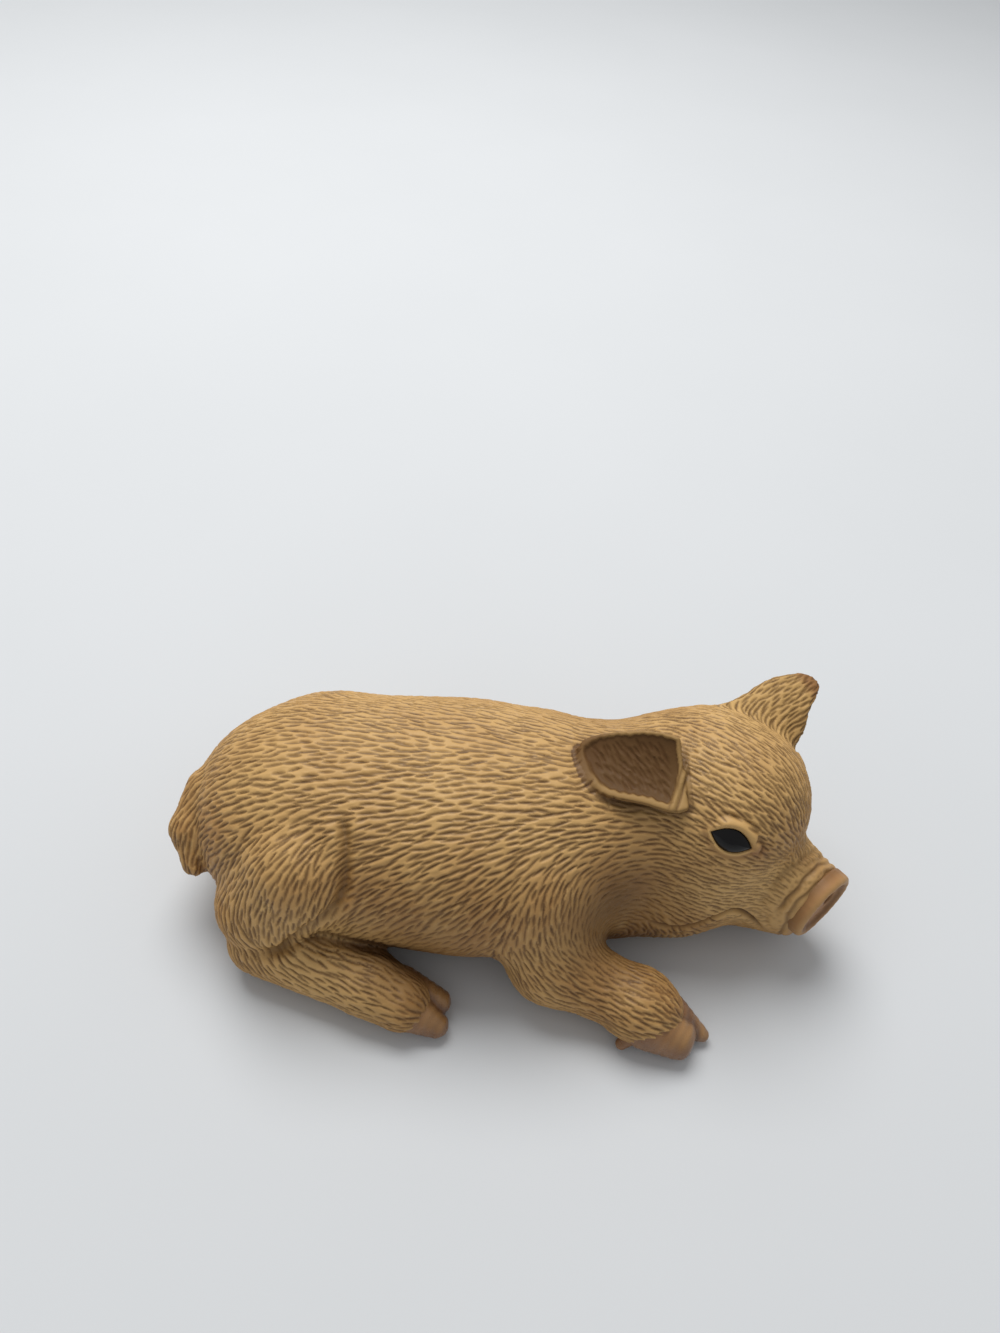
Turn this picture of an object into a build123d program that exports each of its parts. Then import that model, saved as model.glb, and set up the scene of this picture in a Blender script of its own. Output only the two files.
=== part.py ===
from build123d import *
from math import acos, cos, degrees, radians, sin, sqrt
import os

# Pig figurine lying on its belly: a small cast-resin ornament, in millimetres.
# +X points to the head end, +Z is up, and the pig's right side faces -Y.
# The origin is on the surface that the pig lies on, under the middle of the piece.

# Overall sizes
length = 88.0            # nominal, which the shares along the body follow
body_width = 34.0        # across the barrel, without the legs
back_height = 27.8       # surface to the top of the back
crown_height = 29.9      # surface to the top of the skull
overrun = 1.0            # how far a trimming block reaches past what it trims

# Barrel, as a row of upright ovals from the rump to the neck.
# Each row gives the place along the half length, the place of the middle across and up, and the half sizes.
barrel_shares = [
    (-0.948, -0.02, 0.440, 0.16, 0.140),
    (-0.925, -0.02, 0.435, 0.38, 0.250),
    (-0.865, -0.01, 0.430, 0.60, 0.370),
    (-0.760, 0.00, 0.430, 0.78, 0.460),
    (-0.600, 0.00, 0.435, 0.91, 0.525),
    (-0.380, 0.00, 0.455, 0.98, 0.537),
    (-0.150, 0.00, 0.465, 1.00, 0.533),
    (0.100, 0.03, 0.470, 0.93, 0.515),
    (0.290, 0.12, 0.490, 0.80, 0.470),
    (0.430, 0.20, 0.530, 0.68, 0.420),
]

# Throat, between the chest and the jaw
throat_back_radius = 7.5
throat_front_radius = 6.5
throat_back_share = (0.21, -0.18, 0.25)
throat_front_share = (0.46, -0.15, 0.25)

# Head, in a frame that stands at the middle of the skull, turned and tipped a little.
# A share of the head counts forward, left and up from there, in half sizes of the skull.
head_turn = 30.0         # degrees towards the pig's right
head_tip = 6.0           # degrees, crown towards the pig's left
skull_length = 24.6
skull_width = 24.4
skull_height = 24.6
skull_place_share = (0.534, 0.235)

# Head from the nape to the root of the snout, as a row of ovals that look forward.
# Each row gives the place of the middle forward, left and up, and the half sizes across and up.
head_oval_shares = [
    (-0.98, 0, -0.06, 0.18, 0.20),
    (-0.90, 0, -0.08, 0.46, 0.50),
    (-0.66, 0, -0.14, 0.78, 0.88),
    (-0.25, 0, -0.20, 0.98, 1.14),
    (0.22, 0, -0.19, 1.01, 1.18),
    (0.60, 0, -0.16, 0.94, 1.05),
    (0.90, 0, -0.33, 0.68, 0.77),
    (1.12, 0.01, -0.50, 0.46, 0.48),
]
muzzle_end_share = (0.36, 0.36)   # half sizes at the back of the snout disc
jaw_back_radius = 8.0
jaw_front_radius = 3.2
jaw_back_share = (-0.08, -0.10, -0.72)
jaw_set_back = 2.2       # from the back of the snout disc
jaw_drop = 5.0           # from the middle of the snout disc

# Snout disc and nostrils
snout_turn = 42.0        # degrees towards the pig's right
snout_share = (1.625, 0, -0.53)
disc_width = 9.4
disc_height = 8.8
disc_thickness = 2.2
disc_rim_fillet = 0.7
nostril_width = 1.7
nostril_height = 3.0
nostril_depth = 1.3
nostril_spread = 3.6     # between the middles of the two nostrils

# Eyes, smooth beads that stand a little proud of the skull
eye_length = 5.8
eye_height = 3.8
eye_depth = 3.4
eye_proud = 0.2
eye_share = (0.507, 0.741, 0.463)
eye_reach = (0.87, -0.40, -0.25)           # along the eye towards its front corner: forward, left and up

# Ears, cupped leaves
ear_length = 11.2
ear_width = 7.6
ear_thickness = 1.3
ear_cup_radius = 6.0
ear_root = 2.6           # how far the leaf runs on into the head
ear_root_share = 0.44     # half widths at the root, of the width
ear_upper_bow_share = (0.55, 0.54)
ear_tip_share = (1.00, -0.12)
ear_lower_bow_share = (0.60, -0.56)
right_ear_share = (-0.26, -0.66, 0.71)
right_ear_reach = (-0.89, -0.46, 0.06)    # towards the tip: forward, left and up
right_ear_face = (0.22, -0.34, 0.91)       # the way that the hollow side looks
left_ear_share = (0.06, 0.52, 0.65)
left_ear_reach = (0.41, 0.81, 0.41)
left_ear_face = (-0.19, 0.50, -0.79)

# Forelegs. Their shares across are negative for the pig's right side, and the left side mirrors them.
shoulder_radius = 8.0
elbow_radius = 5.2
knee_radius = 4.2
shoulder_share = (0.055, -0.500, 0.504)
elbow_share = (0.127, -0.841, 0.223)
knee_share = (0.391, -1.076, 0.165)

# Hind legs
thigh_length = 21.6
thigh_width = 21.2
thigh_height = 22.4
thigh_share = (-0.555, -0.375, 0.455)
fold_radius = 6.5
stifle_radius = 6.8
fold_share = (-0.655, -0.559, 0.324)
stifle_share = (-0.545, -0.610, 0.390)
hock_radius = 4.8
pastern_radius = 4.0
hock_share = (-0.689, -0.853, 0.173)
pastern_share = (-0.336, -1.118, 0.151)

# Cloven hooves: an outer and an inner toe on each foot
fore_outer_root_radius = 3.6
fore_outer_tip_radius = 2.7
fore_outer_root_share = (0.402, -1.135, 0.144)
fore_outer_tip_share = (0.477, -1.271, 0.101)
fore_inner_root_radius = 2.8
fore_inner_tip_radius = 0.9
fore_inner_root_share = (0.448, -1.047, 0.129)
fore_inner_tip_share = (0.568, -1.171, 0.050)
hind_outer_root_radius = 3.3
hind_outer_tip_radius = 2.4
hind_outer_root_share = (-0.314, -1.235, 0.122)
hind_outer_tip_share = (-0.200, -1.294, 0.094)
hind_inner_root_radius = 2.8
hind_inner_tip_radius = 1.8
hind_inner_root_share = (-0.291, -1.076, 0.122)
hind_inner_tip_share = (-0.191, -1.147, 0.094)

# Dewclaws, two small nubs behind the toes of each forefoot
dewclaw_root_radius = 1.3
dewclaw_tip_radius = 0.8
dewclaw_shares = [
    ((0.385, -1.200, 0.090), (0.345, -1.270, 0.050)),
    ((0.430, -0.880, 0.090), (0.395, -0.800, 0.050)),
]

# Tail, a short curl against the rump
tail_root_radius = 2.6
tail_bend_radius = 2.4
tail_tip_radius = 1.7
tail_root_share = (-0.895, -0.059, 0.600)
tail_bend_share = (-0.930, -0.310, 0.490)
tail_tip_share = (-0.900, -0.500, 0.390)

half_length = length / 2
half_width = body_width / 2


def spot(share, side=1):
    """A point of the body from its shares of the half length, half width and back height."""
    along, across, up = share
    return Vector(along * half_length, side * across * half_width, up * back_height)


def turned(degrees_right):
    """The level direction that is turned this far from straight ahead towards the pig's right."""
    angle = radians(degrees_right)
    return Vector(cos(angle), -sin(angle), 0)


upright = Vector(0, 0, 1)
skull_forward = turned(head_turn)
skull_up = upright.rotate(Axis((0, 0, 0), skull_forward), -head_tip)
head_plane = Plane(
    origin=(
        skull_place_share[0] * half_length,
        skull_place_share[1] * half_width,
        crown_height - skull_height / 2,
    ),
    x_dir=skull_forward,
    z_dir=skull_up,
)


def head_spot(share, side=1):
    """A point of the head from its shares of the skull's half sizes."""
    forward, left, up = share
    return head_plane.from_local_coords(
        Vector(forward * skull_length / 2, side * left * skull_width / 2, up * skull_height / 2)
    )


def head_direction(parts):
    """A direction of the body from its forward, left and up parts in the head's frame."""
    forward, left, up = parts
    return head_plane.x_dir * forward + head_plane.y_dir * left + head_plane.z_dir * up


def bar(start, end, start_radius, end_radius):
    """A round bar between two balls, which tapers from one to the other."""
    reach = (end - start).length
    slope = (start_radius - end_radius) / reach
    rise = sqrt(1 - slope**2)
    run = (end - start).normalized()
    sideways = run.cross(Vector(0, 0, 1)) if abs(run.Z) < rise else run.cross(Vector(0, 1, 0))
    touch = degrees(acos(slope))
    with BuildPart() as solid:
        with BuildSketch(Plane(origin=start, x_dir=run, z_dir=sideways)):
            with BuildLine():
                CenterArc((0, 0), start_radius, touch, 180 - touch)
                Line(
                    (start_radius * slope, start_radius * rise),
                    (reach + end_radius * slope, end_radius * rise),
                )
                CenterArc((reach, 0), end_radius, 0, touch)
                Line((-start_radius, 0), (reach + end_radius, 0))
            make_face()
        revolve(axis=Axis(start, run))
    return solid.part


def egg(place, long, wide, high):
    """An ellipsoid with these full sizes, placed in its own plane."""
    with BuildPart() as solid:
        Sphere(1)
        scale(by=(long / 2, wide / 2, high / 2))
    return place.location * solid.part


def leaf(plane, width_side=1):
    """A leaf that is hollow on the side that its plane faces: a pipe wall trimmed to the leaf's outline."""
    pipe_length = 2 * (ear_length + ear_root)
    with BuildPart() as wall:
        Cylinder(ear_cup_radius, pipe_length, rotation=(0, 90, 0))
        Cylinder(ear_cup_radius - ear_thickness, pipe_length, rotation=(0, 90, 0), mode=Mode.SUBTRACT)
    wall_plane = plane.offset(ear_cup_radius - ear_thickness / 2)

    def edge(share):
        return (share[0] * ear_length, width_side * share[1] * ear_width)

    upper_root, lower_root = edge((0, ear_root_share)), edge((0, -ear_root_share))
    with BuildPart() as solid:
        with BuildSketch(plane.offset(-ear_thickness - overrun)):
            with BuildLine():
                ThreePointArc(upper_root, edge(ear_upper_bow_share), edge(ear_tip_share))
                ThreePointArc(edge(ear_tip_share), edge(ear_lower_bow_share), lower_root)
                Polyline(lower_root, (-ear_root, lower_root[1]), (-ear_root, upper_root[1]), upper_root)
            make_face()
        extrude(amount=ear_cup_radius / 2 + ear_thickness + overrun)
        add(wall_plane.location * wall.part, mode=Mode.INTERSECT)
    return solid.part


def standing(pieces, cutters):
    """The pieces as one solid, cut flat at the surface and cut back to the faces of what carries them."""
    with BuildPart() as whole:
        add(pieces)
        split(bisect_by=Plane.XY, keep=Keep.TOP)
        for cutter in cutters:
            add(cutter, mode=Mode.SUBTRACT)
    return whole.part


def keep(part, name):
    """Label a finished piece and write it."""
    part.label = name
    export_step(part, f"parts/{name}.step")


os.makedirs("parts", exist_ok=True)

# Torso: barrel, neck and throat in one casting, flat where it lies
with BuildPart() as barrel:
    for along, across, middle, wide, high in barrel_shares:
        with BuildSketch(Plane(origin=spot((along, across, middle)), x_dir=(0, 1, 0), z_dir=(1, 0, 0))):
            Ellipse(wide * half_width, high * back_height)
    loft()
throat = bar(spot(throat_back_share), spot(throat_front_share), throat_back_radius, throat_front_radius)
torso = standing([barrel.part, throat], [])
keep(torso, "torso")

# Snout disc, turned a little further than the head, with its two nostrils
disc_plane = Plane(origin=head_spot(snout_share), x_dir=(0, 0, 1), z_dir=turned(snout_turn))
with BuildPart() as snout:
    with BuildSketch(disc_plane):
        Ellipse(disc_height / 2, disc_width / 2)
    extrude(amount=-disc_thickness)
    fillet(snout.edges().filter_by(GeomType.ELLIPSE), radius=disc_rim_fillet)
    with BuildSketch(disc_plane):
        with Locations((0, -nostril_spread / 2), (0, nostril_spread / 2)):
            Ellipse(nostril_height / 2, nostril_width / 2)
    extrude(amount=-nostril_depth, mode=Mode.SUBTRACT)
keep(snout.part, "snout_disc")

# Eye beads
eyes = {}
for name, side in (("right_eye", -1), ("left_eye", 1)):
    forward, inward, up = eye_reach
    surface = head_spot(eye_share, side)
    outward = (surface - head_plane.origin).normalized()
    eye_plane = Plane(
        origin=surface - outward * (eye_depth / 2 - eye_proud),
        x_dir=head_direction((forward, side * inward, up)),
        z_dir=outward,
    )
    eyes[name] = egg(eye_plane, eye_length, eye_height, eye_depth)

# Head: skull, cheeks and muzzle in one run, and the lower jaw under them
disc_back = disc_plane.offset(-disc_thickness)
with BuildPart() as skull:
    for forward, left, up, wide, high in head_oval_shares:
        middle = head_spot((forward, left, up))
        with BuildSketch(Plane(origin=middle, x_dir=head_plane.y_dir, z_dir=head_plane.x_dir)):
            Ellipse(wide * skull_width / 2, high * skull_height / 2)
    with BuildSketch(Plane(origin=disc_back.origin, x_dir=disc_plane.y_dir, z_dir=disc_plane.z_dir)):
        Ellipse(muzzle_end_share[0] * skull_width / 2, muzzle_end_share[1] * skull_height / 2)
    loft()
jaw_front = disc_back.origin - disc_plane.z_dir * jaw_set_back - upright * jaw_drop
jaw = bar(head_spot(jaw_back_share), jaw_front, jaw_back_radius, jaw_front_radius)
head = standing([skull.part, jaw], [torso, snout.part, *eyes.values()])
keep(head, "head")
for name, bead in eyes.items():
    keep(bead, name)

# Ears, each set in the side of the skull
ears = {
    "right_ear": (right_ear_share, right_ear_reach, right_ear_face, 1),
    "left_ear": (left_ear_share, left_ear_reach, left_ear_face, -1),
}
for name, (share, reach, face, width_side) in ears.items():
    ear_plane = Plane(origin=head_spot(share), x_dir=head_direction(reach), z_dir=head_direction(face))
    with BuildPart() as ear:
        add(leaf(ear_plane, width_side))
        for carrier in (head, torso, *eyes.values()):
            add(carrier, mode=Mode.SUBTRACT)
    keep(ear.part, name)

# Legs folded under the body, each with its cloven hoof, and the dewclaws of the forefeet
for name, side in (("right", 1), ("left", -1)):
    upper_arm = bar(spot(shoulder_share, side), spot(elbow_share, side), shoulder_radius, elbow_radius)
    forearm = bar(spot(elbow_share, side), spot(knee_share, side), elbow_radius, knee_radius)
    foreleg = standing([upper_arm, forearm], [torso, head])
    keep(foreleg, f"{name}_foreleg")

    outer_root, outer_tip = spot(fore_outer_root_share, side), spot(fore_outer_tip_share, side)
    inner_root, inner_tip = spot(fore_inner_root_share, side), spot(fore_inner_tip_share, side)
    outer_toe = bar(outer_root, outer_tip, fore_outer_root_radius, fore_outer_tip_radius)
    inner_toe = bar(inner_root, inner_tip, fore_inner_root_radius, fore_inner_tip_radius)
    fore_hoof = standing([outer_toe, inner_toe], [foreleg])
    keep(fore_hoof, f"{name}_fore_hoof")

    nubs = [
        bar(spot(root_share, side), spot(tip_share, side), dewclaw_root_radius, dewclaw_tip_radius)
        for root_share, tip_share in dewclaw_shares
    ]
    keep(standing(nubs, [foreleg, fore_hoof]), f"{name}_fore_dewclaws")

    haunch = egg(Plane(spot(thigh_share, side)), thigh_length, thigh_width, thigh_height)
    knee_fold = bar(spot(fold_share, side), spot(stifle_share, side), fold_radius, stifle_radius)
    shank = bar(spot(hock_share, side), spot(pastern_share, side), hock_radius, pastern_radius)
    hind_leg = standing([haunch, knee_fold, shank], [torso])
    keep(hind_leg, f"{name}_hind_leg")

    outer_root, outer_tip = spot(hind_outer_root_share, side), spot(hind_outer_tip_share, side)
    inner_root, inner_tip = spot(hind_inner_root_share, side), spot(hind_inner_tip_share, side)
    outer_toe = bar(outer_root, outer_tip, hind_outer_root_radius, hind_outer_tip_radius)
    inner_toe = bar(inner_root, inner_tip, hind_inner_root_radius, hind_inner_tip_radius)
    keep(standing([outer_toe, inner_toe], [hind_leg]), f"{name}_hind_hoof")

# Tail, curled down against the right side of the rump
tail_root = bar(spot(tail_root_share), spot(tail_bend_share), tail_root_radius, tail_bend_radius)
tail_end = bar(spot(tail_bend_share), spot(tail_tip_share), tail_bend_radius, tail_tip_radius)
keep(standing([tail_root, tail_end], [torso]), "tail")
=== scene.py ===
import math

import bpy
import numpy as np
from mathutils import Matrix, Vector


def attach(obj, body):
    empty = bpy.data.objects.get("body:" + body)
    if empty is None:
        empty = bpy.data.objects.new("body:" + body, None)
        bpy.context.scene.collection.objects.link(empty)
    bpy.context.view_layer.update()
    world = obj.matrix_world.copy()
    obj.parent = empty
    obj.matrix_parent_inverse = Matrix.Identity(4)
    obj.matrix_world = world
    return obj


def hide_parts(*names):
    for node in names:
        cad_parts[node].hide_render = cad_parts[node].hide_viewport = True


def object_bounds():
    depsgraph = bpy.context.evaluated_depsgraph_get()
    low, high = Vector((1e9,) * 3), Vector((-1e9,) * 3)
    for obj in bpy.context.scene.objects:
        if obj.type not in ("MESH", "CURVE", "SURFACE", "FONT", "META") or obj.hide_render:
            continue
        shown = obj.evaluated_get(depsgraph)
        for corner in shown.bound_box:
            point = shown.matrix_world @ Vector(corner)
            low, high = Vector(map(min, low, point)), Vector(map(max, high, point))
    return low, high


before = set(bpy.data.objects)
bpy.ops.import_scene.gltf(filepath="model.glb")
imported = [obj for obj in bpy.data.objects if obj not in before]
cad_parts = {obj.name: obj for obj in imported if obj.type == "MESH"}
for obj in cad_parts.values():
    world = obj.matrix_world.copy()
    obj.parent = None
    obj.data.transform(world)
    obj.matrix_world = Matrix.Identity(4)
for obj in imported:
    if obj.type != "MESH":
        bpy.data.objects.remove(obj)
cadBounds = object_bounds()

import openvdb
from mathutils import Euler, Vector
from mathutils.kdtree import KDTree

# All shapes below are written in millimetres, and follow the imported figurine's own length.
figurine = {"lengthInMm": 86.66, "seed": 11}
mm = (cadBounds[1][0] - cadBounds[0][0]) / figurine["lengthInMm"]
print("frame loaded, one millimetre is", round(mm, 6))


# Camera, at the photograph's viewing angle
cameraView = {
    "place": (-4.5, -73.4, 121.5),
    "turnDegrees": (42.95, -3.96, 4.24),
    "lens": 27.007,          # on a 36 mm frame
    "frameSize": 36.0,
    "nearestSeen": 0.005,    # in metres
}


def setCamera():
    data = bpy.data.cameras.new("figurine_camera")
    data.lens = cameraView["lens"]
    data.sensor_width = cameraView["frameSize"]
    data.clip_start = cameraView["nearestSeen"]
    camera = bpy.data.objects.new("figurine_camera", data)
    bpy.context.scene.collection.objects.link(camera)
    camera.location = Vector(cameraView["place"]) * mm
    camera.rotation_euler = Euler([math.radians(a) for a in cameraView["turnDegrees"]])
    bpy.context.scene.camera = camera


setCamera()
print("camera set")


# Round forms, as distances from their surface. Points are rows of x, y, z.
def unitOf(vector):
    return np.asarray(vector, float) / np.linalg.norm(vector)


def axesOf(heading, pitch=0.0, roll=0.0):
    a, p, r = np.radians([heading, pitch, roll])
    forward = np.array([np.cos(p) * np.cos(a), np.cos(p) * np.sin(a), np.sin(p)])
    left = np.array([-np.sin(a), np.cos(a), 0.0])
    up = np.cross(forward, left)
    left = np.cos(r) * left + np.sin(r) * up
    return np.stack([forward, left, np.cross(forward, left)])


def egg(points, middle, radii, axes=None):
    local = points - np.asarray(middle, float)
    if axes is not None:
        local = local @ axes.T
    radii = np.asarray(radii, float)
    near = np.sqrt(((local / radii) ** 2).sum(-1)) + 1e-9
    steep = np.sqrt(((local / radii**2) ** 2).sum(-1)) + 1e-9
    return near * (near - 1) / steep


def limb(points, start, end, startRadius, endRadius):
    start, end = np.asarray(start, float), np.asarray(end, float)
    run = end - start
    taper = startRadius - endRadius
    squared = run @ run
    flat = squared - taper * taper
    offset = points - start
    along = offset @ run
    past = along - squared
    across = ((offset * squared - along[..., None] * run) ** 2).sum(-1)
    alongSquared, pastSquared = along * along * squared, past * past * squared
    tilt = np.sign(taper) * taper * taper * across
    side = (np.sqrt(across * flat / squared) + along * taper) / squared - startRadius
    nearEnd = np.sqrt(across + pastSquared) / squared - endRadius
    nearStart = np.sqrt(across + alongSquared) / squared - startRadius
    result = np.where(np.sign(along) * flat * alongSquared < tilt, nearStart, side)
    return np.where(np.sign(past) * flat * pastSquared > tilt, nearEnd, result)


def melt(first, second, soft):
    share = np.clip(0.5 + 0.5 * (second - first) / soft, 0, 1)
    return second * (1 - share) + first * share - soft * share * (1 - share)


def trim(first, second, soft):
    return -melt(-first, -second, soft)


def smooth(low, high, value):
    share = np.clip((value - low) / (high - low), 0, 1)
    return share * share * (3 - 2 * share)


# The pig's build. A mass is an egg with its middle and radii, or a limb with its two ends and their radii,
# and then how wide it melts into the masses before it.
torso = {
    "rump": (egg, ((-23.8, 0.0, 12.2), (18.3, 15.4, 14.6)), 0),
    "barrel": (egg, ((-6.8, 0.0, 13.0), (22.0, 17.1, 14.8)), 6),
    "shoulders": (limb, ((5.2, 1.0, 13.3), (16.2, 4.0, 15.0), 13.0, 11.6), 5),
    "throat": (limb, ((9.2, -3.0, 7.0), (20.2, -2.5, 7.0), 7.5, 6.5), 4),
}
foreleg = {
    "upperArm": (limb, ((2.4, -8.5, 14.0), (5.0, -14.0, 7.0), 8.0, 5.3), 0),
    "forearm": (limb, ((6.2, -14.4, 5.6), (16.4, -18.0, 4.5), 4.9, 3.9), 3),
    "wrist": (egg, ((16.9, -18.3, 4.4), (4.2, 4.0, 4.2)), 2),
    "cuff": (limb, ((16.5, -18.0, 4.3), (18.5, -18.8, 4.0), 4.1, 3.7), 1.5),
}
shin = {
    "shank": (limb, ((-30.3, -14.5, 4.8), (-16.8, -18.8, 4.3), 4.8, 4.0), 0.7),
    "foot": (limb, ((-16.8, -18.8, 4.3), (-12.4, -20.4, 3.5), 4.0, 3.7), 1.0),
}
nearHindLeg = {"thigh": (limb, ((-25.9, -10.1, 15.4), (-30.4, -12.0, 9.0), 7.4, 6.2), 0), **shin}
farHindLeg = {
    "haunch": (egg, ((-24.4, -6.4, 12.3), (11.8, 10.6, 11.0)), 0),
    "thigh": (limb, ((-27.0, -9.5, 12.0), (-29.4, -11.5, 9.0), 7.0, 6.2), 3),
    **shin,
}
tail = {
    "root": (limb, ((-39.8, -1.0, 16.2), (-41.2, -5.3, 13.4), 2.6, 2.3), 0),
    "tip": (limb, ((-41.2, -5.3, 13.4), (-40.0, -8.6, 10.6), 2.3, 1.5), 1),
}
head = {
    "middle": np.array([23.5, 4.0, 17.6]),
    "axes": axesOf(-30, 0, -6),
    "skull": (12.3, 12.2, 12.3),
    "brow": ((4.4, 0.0, 2.3), (7.9, 9.6, 9.3)),
    "muzzleRoot": (8.0, 0.2, -4.5),
    "muzzleRadii": (6.5, 4.8),
    "jawBack": (-1.0, -2.0, -8.9),
    "jawRadii": (8.3, 3.9),
    "cheek": ((-1.0, 5.5, -7.5), (10.0, 6.6, 8.7)),
    "muzzleBack": 2.5,       # these three count back from the front of the disc
    "muzzleEnd": 1.6,
    "jawEnd": 4,
    "jawDrop": 4.7,
    "browMelt": 2,
    "muzzleMelt": 1.8,
    "jawMelt": 4,
    "cheekMelt": 4,
    "endSoft": 0.6,
}
snout = {"middle": np.array([39.7, -5.9, 10.6]), "axes": axesOf(-46, 0, -3)}


def headSpot(forward, left, up):
    return head["middle"] + np.array([forward, left, up]) @ head["axes"]


def snoutLocal(points):
    return (points - snout["middle"]) @ snout["axes"].T


def built(p, masses):
    whole = None
    for shape, sizes, width in masses.values():
        form = shape(p, *sizes)
        whole = form if whole is None else melt(whole, form, width)
    return whole


def headForm(p):
    form = egg(p, head["middle"], head["skull"], head["axes"])
    browPlace, browRadii = head["brow"]
    form = melt(form, egg(p, headSpot(*browPlace), browRadii, head["axes"]), head["browMelt"])
    snoutBack = snout["middle"] - snout["axes"][0] * head["muzzleBack"]
    bridge = limb(p, headSpot(*head["muzzleRoot"]), snoutBack, *head["muzzleRadii"])
    form = melt(form, bridge, head["muzzleMelt"])
    jawFront = snout["middle"] - snout["axes"][0] * head["jawEnd"] - np.array([0, 0, head["jawDrop"]])
    form = melt(form, limb(p, headSpot(*head["jawBack"]), jawFront, *head["jawRadii"]), head["jawMelt"])
    (forward, left, up), cheekRadii = head["cheek"]
    for side in (1, -1):
        cheek = egg(p, headSpot(forward, side * left, up), cheekRadii, head["axes"])
        form = melt(form, cheek, head["cheekMelt"])
    return trim(form, snoutLocal(p)[..., 0] + head["muzzleEnd"], head["endSoft"])


def mirrored(p):
    return p * np.array([1.0, -1.0, 1.0])


# Ears: cupped leaves. An outline is drawn along the ear and across it, and the hollow faces the third axis.
rightEar = {
    "side": 1,
    "root": np.array([18.7, -1.3, 28.0]),
    "along": unitOf((-0.952, 0.306, -0.027)),
    "hollow": unitOf((-0.168, -0.446, 0.853)),
    "outline": [(-0.7, -3.0), (4.2, -3.9), (8.9, -4.3), (12.2, -1.7), (12.6, 0.6), (8.0, 3.0),
                (3.4, 4.0), (-0.4, 3.0)],
    "round": 0.5,
    "thick": 1.1,
    "cup": 0.050,
    "curl": 0.0,
    "hollowFrom": 0.95,
}
leftEar = {
    "side": -1,
    "root": np.array([25.7, 12.4, 26.9]),
    "along": unitOf((0.779, 0.530, 0.323)),
    "hollow": unitOf((0.040, 0.457, -0.837)),
    "outline": [(-2.5, 0.2), (2.5, 0.0), (5.0, -0.1), (7.1, 0.4), (9.8, 1.6), (10.7, 2.9), (10.3, 3.9),
                (7.5, 5.4), (5.3, 7.2), (2.8, 8.0), (-2.5, 8.0)],
    "round": 0.5,
    "thick": 1.2,
    "cup": 0.045,
    "curl": 0.035,
    "hollowFrom": 1.0,
}
earShape = {
    "middle": (5.0, 1.5, 0.0),
    "radius": 11.0,          # of the ball round an ear, outside which its form needn't be exact
    "exact": 2.0,
    "edgeSoft": 0.7,
    "curlFrom": 6.0,
}


# A smooth line through all corners
def curved(corners, count):
    corners = np.asarray(corners, float)
    padded = np.concatenate([2 * corners[:1] - corners[1:2], corners, 2 * corners[-1:] - corners[-2:-1]])
    steps = np.linspace(0, len(corners) - 1, count)
    result = []
    for step in steps:
        i = min(int(step), len(corners) - 2)
        t = step - i
        a, b, c, d = padded[i: i + 4]
        bend = 2 * a - 5 * b + 4 * c - d
        twist = 3 * b - a - 3 * c + d
        result.append(0.5 * (2 * b + (c - a) * t + bend * t**2 + twist * t**3))
    return np.array(result)


# The outlines are smoothed. The last corner is left out, so a straight edge closes an ear at its root.
for ear, joined in ((rightEar, 5), (leftEar, 4)):
    ear["middle"] = np.mean([v for u, v in ear["outline"]])
    cornerCount = len(ear["outline"])
    ring = ear["outline"][-2:] + ear["outline"] + ear["outline"][:2]
    count = joined * (len(ring) - 1) + 1
    ear["outline"] = curved(ring, count)[2 * joined: joined * cornerCount + 2]


def earAxes(ear):
    hollow = unitOf(ear["hollow"] - ear["along"] * (ear["hollow"] @ ear["along"]))
    across = np.cross(ear["along"], hollow) * ear["side"]
    return np.stack([ear["along"], across, hollow])


def earLocal(p, ear):
    return (p - ear["root"]) @ earAxes(ear).T


def outlineForm(u, v, outline):
    corners = np.array(outline, float)
    nearest = np.full(u.shape, 1e9)
    inside = np.ones(u.shape)
    for start, end in zip(corners, np.roll(corners, -1, 0)):
        edge = end - start
        wu, wv = u - start[0], v - start[1]
        share = np.clip((wu * edge[0] + wv * edge[1]) / (edge @ edge), 0, 1)
        nearest = np.minimum(nearest, (wu - edge[0] * share) ** 2 + (wv - edge[1] * share) ** 2)
        above, below = v >= start[1], v < end[1]
        turning = edge[0] * wv > edge[1] * wu
        flips = (above & below & turning) | (~above & ~below & ~turning)
        inside = np.where(flips, -inside, inside)
    return inside * np.sqrt(nearest)


def earHeight(u, v, w, ear):
    tip = np.maximum(u - earShape["curlFrom"], 0)
    return w - ear["cup"] * (v - ear["middle"]) ** 2 - ear["curl"] * tip**2


def earForm(p, ear):
    local = earLocal(p, ear)
    form = np.linalg.norm(local - np.array(earShape["middle"]), axis=-1) - earShape["radius"]
    near = form < earShape["exact"]
    if near.any():
        u, v, w = local[near].T
        edge = outlineForm(u, v, ear["outline"]) - ear["round"]
        slab = np.abs(earHeight(u, v, w, ear)) - ear["thick"] / 2
        form[near] = trim(edge, slab, earShape["edgeSoft"])
    return form


coatParts = {
    "torso": lambda p: built(p, torso),
    "head": headForm,
    "right_foreleg": lambda p: built(p, foreleg),
    "left_foreleg": lambda p: built(mirrored(p), foreleg),
    "right_hind_leg": lambda p: built(p, nearHindLeg),
    "left_hind_leg": lambda p: built(mirrored(p), farHindLeg),
    "tail": lambda p: built(p, tail),
    "right_ear": lambda p: earForm(p, rightEar),
    "left_ear": lambda p: earForm(p, leftEar),
}
# How wide each part melts into the coat
blendWidths = {
    "head": 3.0,
    "right_foreleg": 2.0,
    "left_foreleg": 2.0,
    "right_hind_leg": 1.1,
    "left_hind_leg": 1.8,
    "tail": 0.8,
    "right_ear": 0.7,
    "left_ear": 1.2,
}


def partForms(p):
    return {name: form(p) for name, form in coatParts.items()}


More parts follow.
